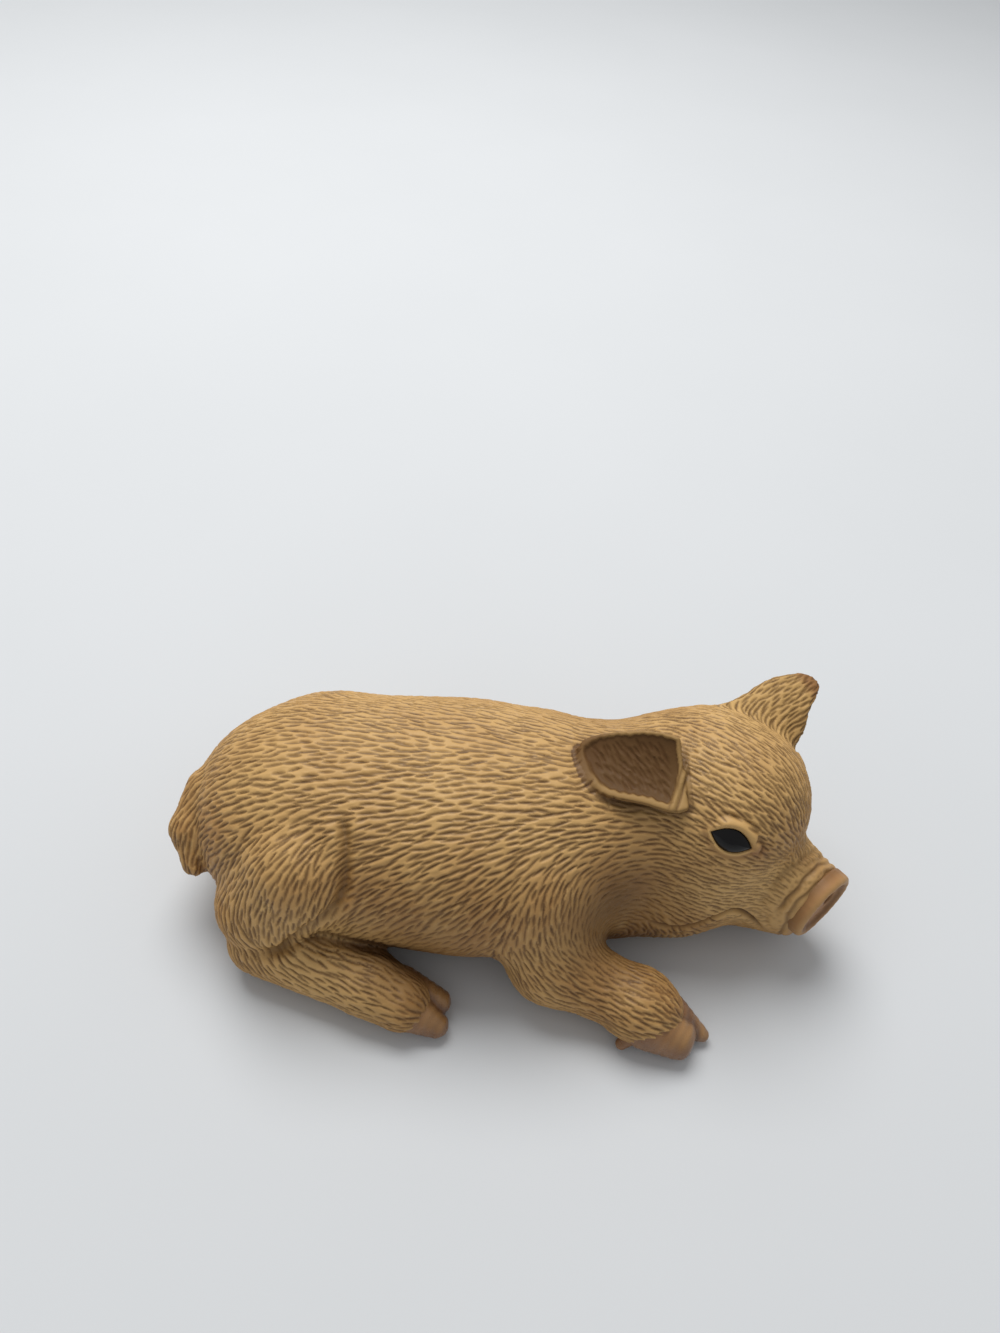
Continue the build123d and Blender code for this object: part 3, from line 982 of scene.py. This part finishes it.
def carveHairs():
    sizes = sizeOf(coatLevels)
    gap = snoutGap(coatPoints)
    sizes = sizes * (0.82 + 0.18 * smooth(2.0, 7.0, gap))
    offMuzzle = (gap > 2.2) | (snoutLocal(coatPoints)[:, 2] > 6.8)
    allowed = (coatPoints[:, 2] > 0.4) & offMuzzle & (eyeGap(coatPoints) > 1.0) & ~quiet
    u, v, w = earLocal(coatPoints, rightEar).T
    rim = (outlineForm(u, v, rightEar["outline"]) > -1.3) | (u < 1.2)
    allowed &= ~(onEar["right_ear"] & rim & (earHeight(u, v, w, rightEar) > -0.35))
    seeds = scattered(strokes, sizes, allowed)
    for seed in seeds:
        size = sizes[seed]
        length = strokes["length"] * size * rng.uniform(*strokes["lengths"])
        width = strokes["width"] * size**0.5 * rng.uniform(*strokes["widths"])
        depth = strokes["depth"] * size * rng.uniform(*strokes["depths"])
        near, taper, across = strokeShape(seed, length, width, rng.normal(0, strokes["stray"]))
        hairDepths[near] = np.maximum(hairDepths[near], taper * depth * np.exp(-(across**2) * 1.1))
        faint = (1 - 0.45 * marks["hollow"][seed]) * (0.72 + 0.28 * smooth(2.0, 9.0, gap[seed]))
        strength = faint * np.sqrt(taper) * rng.uniform(*strokes["washes"])
        deepen("wash_and_shade", near, strength * smooth(1.25, 0.35, np.abs(across)))
    print("hairs carved:", len(seeds))
    allowed &= marks["wash_and_shade"] < ridges["mostWash"]
    seeds = scattered(ridges, sizes, allowed)
    for seed in seeds:
        size = sizes[seed]
        length = ridges["length"] * size * rng.uniform(*ridges["lengths"])
        width = ridges["width"] * size**0.5
        near, taper, across = strokeShape(seed, length, width, rng.normal(0, ridges["stray"]))
        lift = taper * np.exp(-(across**2) * 1.4)
        hairDepths[near] -= ridges["lift"] * lift * (hairDepths[near] < 0.03)
        deepen("pale_and_highlight", near, rng.uniform(*ridges["pales"]) * lift)
    print("ridges raised:", len(seeds))


carveHairs()
marks["depth"] += hairDepths
carvedPoints = coatPoints - coatNormals * marks["depth"][:, None]
carvedPoints[:, 2] = np.maximum(carvedPoints[:, 2], 0.0)


# Materials
def nodeOf(material, kind, **values):
    node = material.node_tree.nodes.new(kind)
    for name, value in values.items():
        if name in node.inputs:
            node.inputs[name].default_value = value
        else:
            setattr(node, name, value)
    return node


def noiseOf(material, scale, detail, rough=0.5):
    place = nodeOf(material, "ShaderNodeTexCoord")
    noise = nodeOf(material, "ShaderNodeTexNoise", Scale=scale, Detail=detail, Roughness=rough)
    material.node_tree.links.new(place.outputs["Object"], noise.inputs["Vector"])
    return noise.outputs["Fac"]


def ranged(material, value, low, high, newLow, newHigh):
    node = nodeOf(material, "ShaderNodeMapRange")
    for name, number in (("From Min", low), ("From Max", high), ("To Min", newLow), ("To Max", newHigh)):
        node.inputs[name].default_value = number
    material.node_tree.links.new(value, node.inputs["Value"])
    return node.outputs["Result"]


def tinted(material, base, tint, amount):
    mix = nodeOf(material, "ShaderNodeMix", data_type="RGBA")
    if isinstance(base, tuple):
        mix.inputs["A"].default_value = (*base, 1)
    else:
        material.node_tree.links.new(base, mix.inputs["A"])
    mix.inputs["B"].default_value = (*tint, 1)
    material.node_tree.links.new(amount, mix.inputs["Factor"])
    return mix.outputs["Result"]


def markOf(material, name):
    return nodeOf(material, "ShaderNodeAttribute", attribute_name=name).outputs["Fac"]


# Tints a colour by a mark of the mesh
def marked(material, colour, mark, tone, share):
    amount = ranged(material, markOf(material, mark), 0, 1, 0, share)
    return tinted(material, colour, tone, amount)


def finishPaint(material, colour, roughness, bumpHeight, fine, shine):
    links = material.node_tree.links
    shader = material.node_tree.nodes["Principled BSDF"]
    links.new(colour, shader.inputs["Base Color"])
    grain = noiseOf(material, fine, 3.0, 0.6)
    uneven = ranged(material, grain, 0.3, 0.7, roughness - 0.07, roughness + 0.08)
    links.new(uneven, shader.inputs["Roughness"])
    relief = nodeOf(material, "ShaderNodeBump", Strength=0.35, Distance=bumpHeight)
    links.new(grain, relief.inputs["Height"])
    links.new(relief.outputs["Normal"], shader.inputs["Normal"])
    shader.inputs["Specular IOR Level"].default_value = shine


# The wash colour stands for the brown stain in carved grooves and for painted shade; the pale colour stands
# for pale paint and for painted highlight
coatTones = {
    "mid": (0.408, 0.211, 0.068),
    "light": (0.520, 0.300, 0.106),
    "pale_and_highlight": (0.670, 0.425, 0.165),
    "rosy": (0.300, 0.115, 0.048),
    "hollow": (0.058, 0.021, 0.007),
    "wash_and_shade": (0.075, 0.029, 0.008),
}
markShares = {"pale_and_highlight": 0.72, "rosy": 0.6, "hollow": 0.9, "wash_and_shade": 0.92}


def coatPaint(name, mid, light, shine=0.28):
    material = bpy.data.materials.new(name)
    material.use_nodes = True
    patches = ranged(material, noiseOf(material, 140.0, 4.0), 0.36, 0.64, 0.0, 1.0)
    colour = tinted(material, mid, light, patches)
    for mark, share in markShares.items():
        colour = marked(material, colour, mark, coatTones[mark], share)
    finishPaint(material, colour, 0.52, 0.00004, 2600.0, shine)
    return material


coatMaterial = coatPaint("coat_paint", coatTones["mid"], coatTones["light"])
earMaterial = coatPaint("ear_paint", (0.325, 0.178, 0.060), (0.420, 0.250, 0.092), 0.12)
snoutMaterial = coatPaint("snout_paint", (0.390, 0.205, 0.078), (0.460, 0.262, 0.104))


# Adds a piece that stands for a node of the frame
def addPiece(name, node, points, faces, material, values=None, normals=None):
    mesh = bpy.data.meshes.new(name)
    mesh.from_pydata((np.asarray(points) * mm).tolist(), [], faces)
    for mark, numbers in (values or {}).items():
        mesh.attributes.new(mark, "FLOAT", "POINT").data.foreach_set("value", np.asarray(numbers, np.float32))
    mesh.shade_smooth()
    mesh.materials.append(material)
    if normals is not None:
        mesh.normals_split_custom_set(normals)
    piece = bpy.data.objects.new(name, mesh)
    bpy.context.scene.collection.objects.link(piece)
    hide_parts(node)
    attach(piece, "root")
    return piece


# Pieces of the coat: the one skin, parted where the figurine's castings meet, each closed inside
def facesNormals(points, quads):
    return np.cross(points[quads[:, 2]] - points[quads[:, 0]], points[quads[:, 3]] - points[quads[:, 1]])


def pointNormals(points, quads):
    corners = facesNormals(points, quads).repeat(4, 0)
    total = np.stack([np.bincount(quads.ravel(), corners[:, i], len(points)) for i in range(3)], 1)
    return total / np.maximum(np.linalg.norm(total, axis=1, keepdims=True), 1e-12)


# Numbers each of count things by the lowest one that it is joined to
def groups(count, first, second):
    parent = np.arange(count)
    while True:
        a, b = parent[first], parent[second]
        apart = a != b
        if not apart.any():
            return parent
        np.minimum.at(parent, np.maximum(a, b)[apart], np.minimum(a, b)[apart])
        while (parent[parent] != parent).any():
            parent = parent[parent]


# Gives each face to the part that it is deepest in, and stray islands to the part around them
def ownersOf(quads, levels):
    owners = levels[:, quads].mean(2).argmin(0)
    pairs = np.stack([quads, np.roll(quads, -1, 1)], -1).reshape(-1, 2)
    keys = pairs.min(1) * levels.shape[1] + pairs.max(1)
    order = np.argsort(keys, kind="stable")
    faces = order // 4
    first, second = faces[0::2], faces[1::2]       # every edge has two faces
    for _ in range(12):
        same = owners[first] == owners[second]
        group = groups(len(quads), first[same], second[same])
        counts = np.bincount(group, minlength=len(quads))
        largest = np.zeros(len(levels), int)
        for number in range(len(levels)):
            mine = np.flatnonzero(owners == number)
            largest[number] = group[mine][counts[group[mine]].argmax()]
        stray = group != largest[owners]
        if not stray.any():
            return owners
        give = stray[first] & ~stray[second]
        take = stray[second] & ~stray[first]
        owners[first[give]] = owners[second[give]]
        owners[second[take]] = owners[first[take]]
    return owners


# Closes each open ring of a skin with triangles to its middle
def closed(quads, points):
    edges = np.stack([quads, np.roll(quads, -1, 1)], -1).reshape(-1, 2)
    keys = edges[:, 0] * len(points) + edges[:, 1]
    facing = edges[:, 1] * len(points) + edges[:, 0]
    loose = edges[~np.isin(keys, facing)]
    ring = groups(len(points), loose[:, 0], loose[:, 1])
    caps, middles = [], []
    for root in np.unique(ring[loose[:, 0]]):
        mine = loose[ring[loose[:, 0]] == root]
        middle = len(points) + len(middles)
        middles.append(points[mine[:, 0]].mean(0))
        caps += [(end, start, middle) for start, end in mine.tolist()]
    return caps, middles


def partCoat():
    owners = ownersOf(coatQuads, coatLevels)
    skinNormals = pointNormals(carvedPoints, coatQuads)
    for number, name in enumerate(coatParts):
        used, place = np.unique(coatQuads[owners == number], return_inverse=True)
        quads = place.reshape(-1, 4)
        points = carvedPoints[used]
        caps, middles = closed(quads, points)
        points = np.concatenate([points, middles]) if middles else points
        normals = skinNormals[used][quads].reshape(-1, 3)
        if caps:
            a, b, c = points[np.array(caps)].transpose(1, 0, 2)
            capNormals = np.cross(b - a, c - a)
            capNormals /= np.maximum(np.linalg.norm(capNormals, axis=1, keepdims=True), 1e-12)
            normals = np.concatenate([normals, capNormals.repeat(3, 0)])
        inner = np.zeros(len(middles))
        paints = [mark for mark in marks if mark != "depth"]
        values = {mark: np.concatenate([marks[mark][used], inner]) for mark in paints}
        isEar = name.endswith("ear")
        addPiece(name + "_skin", name, points, quads.tolist() + caps, earMaterial if isEar else coatMaterial,
                 values, normals)
        print(name, "skin:", len(quads), "faces,", len(middles), "inner caps")


partCoat()


# Snout disc: a rolled rim around a shallow dish with two slits
disc = {
    "halfWidth": 4.9,
    "halfHeight": 5.1,
    "thick": 2.2,
    "roll": 0.85,
    "dish": 0.70,
    "dishEdge": (0.90, 0.62),
    "nostril": (0.85, 1.50),
    "nostrilSpread": 1.95,
    "nostrilLean": 14,
    "nostrilDepth": 1.5,
    "edgeScale": 4.5,
    "reach": 6.0,
    "voxel": 0.2,
}


def nostrilForm(l, u):
    gaps = []
    for side in (1, -1):
        lean = math.radians(disc["nostrilLean"] * side)
        x, y = l - side * disc["nostrilSpread"], u + 0.1
        x, y = x * math.cos(lean) + y * math.sin(lean), y * math.cos(lean) - x * math.sin(lean)
        wide, high = disc["nostril"]
        gaps.append((np.sqrt((x / wide) ** 2 + (y / high) ** 2) - 1) * wide)
    return np.minimum(*gaps)


def discShare(l, u):
    return np.sqrt((l / disc["halfWidth"]) ** 2 + (u / disc["halfHeight"]) ** 2)


def discForm(p):
    f, l, u = snoutLocal(p).T
    share = discShare(l, u)
    rim = (share - 1) * disc["edgeScale"]
    dish = disc["dish"] * smooth(*disc["dishEdge"], share)
    form = trim(trim(rim, f + dish, disc["roll"]), -f - disc["thick"], 0.3)
    slit = np.maximum(nostrilForm(l, u), -f - disc["nostrilDepth"])
    return trim(form, -slit, 0.35)


def makeSnout():
    low, high = snout["middle"] - disc["reach"], snout["middle"] + disc["reach"]
    points, quads = skinOf(discForm, low, high, disc["voxel"])
    f, l, u = snoutLocal(points).T
    share = discShare(l, u)
    slit = smooth(0.25, -0.15, nostrilForm(l, u)) * smooth(-1.9, -0.6, f)
    inner = bump(share, 0.74, 0.09) * smooth(-1.2, -0.6, f)
    side = smooth(-0.7, -1.9, f)
    # Darker in the slits, in a ring inside the rim and toward the back of the disc's side; paler on the front
    # of the rolled rim
    values = {
        "wash_and_shade": np.clip(1.0 * slit + 0.60 * inner + 0.45 * side * smooth(0.8, 1.0, share), 0, 1),
        "pale_and_highlight": 0.55 * bump(share, 0.93, 0.08) * smooth(-1.0, -0.4, f),
        "rosy": 0.30 + 0.35 * smooth(0.85, 0.5, share),
        "hollow": 0.75 * smooth(0.05, -0.4, nostrilForm(l, u)) * smooth(-2.0, -0.7, f),
    }
    grain = 0.03 * np.sin(3.1 * l + 1.3 * np.sin(2.3 * u)) * np.sin(2.7 * u + 1.1 * np.sin(1.9 * l))
    _, slope = slopeOf(discForm, points)
    points = points + slope / np.linalg.norm(slope, axis=1, keepdims=True) * grain[:, None]
    addPiece("snout_disc_skin", "snout_disc", points, quads.tolist(), snoutMaterial, values)
    print("snout made,", len(points), "points")


makeSnout()


# Eye beads
def glossPaint(name, colour, roughness):
    material = bpy.data.materials.new(name)
    material.use_nodes = True
    shader = material.node_tree.nodes["Principled BSDF"]
    depth = tinted(material, colour, tuple(1.6 * c for c in colour), noiseOf(material, 300.0, 2.0))
    material.node_tree.links.new(depth, shader.inputs["Base Color"])
    smear = ranged(material, noiseOf(material, 900.0, 2.0), 0.3, 0.7, roughness, roughness + 0.06)
    material.node_tree.links.new(smear, shader.inputs["Roughness"])
    shader.inputs["Specular IOR Level"].default_value = 0.25
    return material


eyeMaterial = glossPaint("eye_gloss", (0.003, 0.0025, 0.0025), 0.12)


def makeEye(name, eye):
    place, along, up, outward = eyeFrame(eye)
    turns, rings = eyeShape["turns"], eyeShape["rings"]
    t = 2 * np.pi * np.arange(turns) / turns
    rise = np.where(np.sin(t) > 0, eyeShape["upper"], -eyeShape["lower"])
    rim = np.stack([eyeShape["halfLength"] * np.cos(t), rise * np.sin(t) ** 2], 1) * 1.03
    points, faces = [], []

    def spotOn(a, b, c):
        lift = c - eyeShape["set"] - eyeShape["bend"] * (a * a + b * b)
        return place + a * along + b * up + lift * outward

    for k in range(rings * 2 - 1):
        tilt = np.pi * (k + 1) / (rings * 2)
        share, height = np.sin(tilt), np.cos(tilt)
        height *= eyeShape["dome"] if height > 0 else eyeShape["back"]
        points += [spotOn(a * share, b * share, height) for a, b in rim]
    front, back = len(points), len(points) + 1
    points += [spotOn(0, 0, eyeShape["dome"]), spotOn(0, 0, -eyeShape["back"])]
    turning = 1 if np.cross(along, up) @ outward > 0 else -1
    last = (rings * 2 - 2) * turns
    for i in range(turns):
        j = (i + 1) % turns
        faces += [(front, i, j)[::turning], (last + i, back, last + j)[::turning]]
        for k in range(rings * 2 - 2):
            a, b = k * turns, (k + 1) * turns
            faces.append((a + i, b + i, b + j, a + j)[::turning])
    addPiece(name + "_bead", name, points, faces, eyeMaterial)


for name, eye in eyes.items():
    makeEye(name, eye)
print("eyes set")


# Hooves: two toes each, with faint growth rings. Right side, mirrored for the left.
hooves = {
    "fore": {
        "outer": {"root": (18.0, -19.6, 3.4), "tip": (21.7, -21.0, 2.4), "radii": (3.6, 2.6), "blunt": 0.86},
        "inner": {"root": (20.6, -18.2, 3.1), "tip": (25.0, -19.8, 1.3), "radii": (2.5, 0.95), "blunt": None},
    },
    "hind": {
        "outer": {"root": (-12.4, -20.5, 3.2), "tip": (-7.9, -22.2, 1.8), "radii": (3.2, 1.6), "blunt": None},
        "inner": {"root": (-12.6, -18.4, 3.6), "tip": (-8.0, -19.5, 2.3), "radii": (2.4, 1.7), "blunt": None},
    },
}
hoofShape = {"voxel": 0.3, "room": 4.6, "ring": 0.035, "ringPitch": 1.1, "sole": 0.5}


def toeForm(p, toe):
    form = limb(p, toe["root"], toe["tip"], *toe["radii"])
    if toe["blunt"]:
        run = unitOf(np.array(toe["tip"]) - np.array(toe["root"]) + np.array([0, 0, 1.5]))
        front = (p - np.array(toe["tip"])) @ run - toe["radii"][1] * toe["blunt"]
        form = trim(form, front, 0.8)
    return form


def hoofForm(p, hoof):
    form = melt(toeForm(p, hoof["outer"]), toeForm(p, hoof["inner"]), 0.15)
    return trim(form, -p[:, 2], hoofShape["sole"])


def hoofPaint():
    material = bpy.data.materials.new("hoof_paint")
    material.use_nodes = True
    patches = ranged(material, noiseOf(material, 220.0, 4.0), 0.35, 0.65, 0.0, 1.0)
    colour = tinted(material, (0.205, 0.092, 0.034), (0.310, 0.152, 0.058), patches)
    # The pale and wash marks carry painted highlight and painted shade on the toes
    colour = marked(material, colour, "pale_and_highlight", coatTones["pale_and_highlight"], 0.5)
    colour = marked(material, colour, "wash_and_shade", (0.085, 0.036, 0.020), 0.85)
    finishPaint(material, colour, 0.30, 0.00002, 1800.0, 0.5)
    return material


hoofMaterial = hoofPaint()


def makeHoof(end, hoof, side):
    corners = np.array([toe[key] for toe in (hoof["outer"], hoof["inner"]) for key in ("root", "tip")])
    form = lambda p: hoofForm(p, hoof)
    low, high = corners.min(0) - hoofShape["room"], corners.max(0) + hoofShape["room"]
    points, quads = skinOf(form, low, high, hoofShape["voxel"])
    outer, inner = toeForm(points, hoof["outer"]), toeForm(points, hoof["inner"])
    along = np.zeros(len(points))
    for toe, mine in ((hoof["outer"], outer <= inner), (hoof["inner"], outer > inner)):
        run = np.array(toe["tip"]) - np.array(toe["root"])
        along[mine] = (points[mine] - np.array(toe["root"])) @ unitOf(run)
    _, slope = slopeOf(form, points)
    slope /= np.linalg.norm(slope, axis=1, keepdims=True)
    rings = np.sin(along * 2 * np.pi / hoofShape["ringPitch"] + 0.6 * np.sin(points[:, 1] * 1.3))
    wall = smooth(0.3, 1.0, points[:, 2]) * smooth(-1.0, -0.2, slope[:, 2])
    cleft = smooth(0.9, 0.1, np.abs(outer - inner)) * smooth(0.5, 2.5, along)
    points = points + slope * (hoofShape["ring"] * rings * wall)[:, None]
    points[:, 2] = np.maximum(points[:, 2], 0)
    # Painted shade in the cleft and toward the floor, with darker growth rings; a painted highlight on the
    # upward-facing front of each toe
    wash_and_shade = 0.75 * cleft + 0.14 * (0.5 - 0.5 * rings) * wall + 0.35 * smooth(1.6, 0.2, points[:, 2])
    values = {
        "wash_and_shade": np.clip(wash_and_shade, 0, 1),
        "pale_and_highlight": 0.35 * smooth(1.5, 3.8, along) * smooth(0.2, 0.9, slope[:, 2]),
    }
    if side > 0:
        points, quads = mirrored(points), quads[:, ::-1]
    word = "left" if side > 0 else "right"
    node = f"{word}_{end}_hoof"
    addPiece(node + "_toes", node, points, quads.tolist(), hoofMaterial, values)


for end, hoof in hooves.items():
    for side in (-1, 1):
        makeHoof(end, hoof, side)
print("hooves made")

# Dewclaws of the forefeet: two small nubs on each
dewclaws = {
    "ends": [((16.6, -20.8, 2.6), (15.0, -22.0, 1.3)), ((18.6, -15.2, 2.6), (17.2, -13.8, 1.3))],
    "radii": (1.35, 0.75),
    "room": 2.2,
    "voxel": 0.2,
}


def makeDewclaws(side):
    points, faces = np.zeros((0, 3)), []
    for start, end in dewclaws["ends"]:
        def form(p):
            return trim(limb(p, start, end, *dewclaws["radii"]), -p[:, 2], 0.2)
        low = np.minimum(start, end) - dewclaws["room"]
        high = np.maximum(start, end) + dewclaws["room"]
        nub, quads = skinOf(form, low, high, dewclaws["voxel"])
        faces += (quads + len(points)).tolist()
        points = np.concatenate([points, nub])
    if side > 0:
        points, faces = mirrored(points), [face[::-1] for face in faces]
    node = ("left" if side > 0 else "right") + "_fore_dewclaws"
    # Painted shade toward the floor and a painted highlight toward the top
    values = {"wash_and_shade": 0.4 * smooth(1.6, 0.3, points[:, 2]), "pale_and_highlight": 0.3 * smooth(2.0, 3.4, points[:, 2])}
    addPiece(node + "_nubs", node, points, faces, hoofMaterial, values)


for side in (-1, 1):
    makeDewclaws(side)
print("dewclaws made")

# Floor and light
floorHalf = 3            # in metres
floor = bpy.data.meshes.new("floor")
floorCorners = [(x * floorHalf, y * floorHalf, 0) for x, y in ((-1, -1), (1, -1), (1, 1), (-1, 1))]
floor.from_pydata(floorCorners, [], [(0, 1, 2, 3)])
floorPiece = bpy.data.objects.new("floor", floor)
bpy.context.scene.collection.objects.link(floorPiece)
floorPaint = bpy.data.materials.new("floor_paint")
floorPaint.use_nodes = True
floorTone = tinted(floorPaint, (0.640, 0.655, 0.665), (0.675, 0.688, 0.700), noiseOf(floorPaint, 14.0, 3.0))
floorShader = floorPaint.node_tree.nodes["Principled BSDF"]
floorPaint.node_tree.links.new(floorTone, floorShader.inputs["Base Color"])
floorShader.inputs["Roughness"].default_value = 0.9
floor.materials.append(floorPaint)

studio = {
    "worldColour": (0.96, 0.98, 1.0, 1),
    "worldStrength": 0.43,
    "lampPlace": (-0.10, 0.25, 0.54),
    "lampSize": 0.42,
    "lampPower": 3.0,
}
world = bpy.data.worlds.new("studio")
world.use_nodes = True
world.node_tree.nodes["Background"].inputs["Color"].default_value = studio["worldColour"]
world.node_tree.nodes["Background"].inputs["Strength"].default_value = studio["worldStrength"]
bpy.context.scene.world = world


def lamp(name, place, target, size, power):
    data = bpy.data.lights.new(name, "AREA")
    data.shape = "DISK"
    data.size = size
    data.energy = power
    light = bpy.data.objects.new(name, data)
    bpy.context.scene.collection.objects.link(light)
    light.location = place
    light.rotation_euler = (Vector(target) - Vector(place)).to_track_quat("-Z", "Y").to_euler()


lamp("overhead", studio["lampPlace"], (0, 0, 0.01), studio["lampSize"], studio["lampPower"])
bpy.context.scene.view_settings.view_transform = "Standard"
print("studio lit")
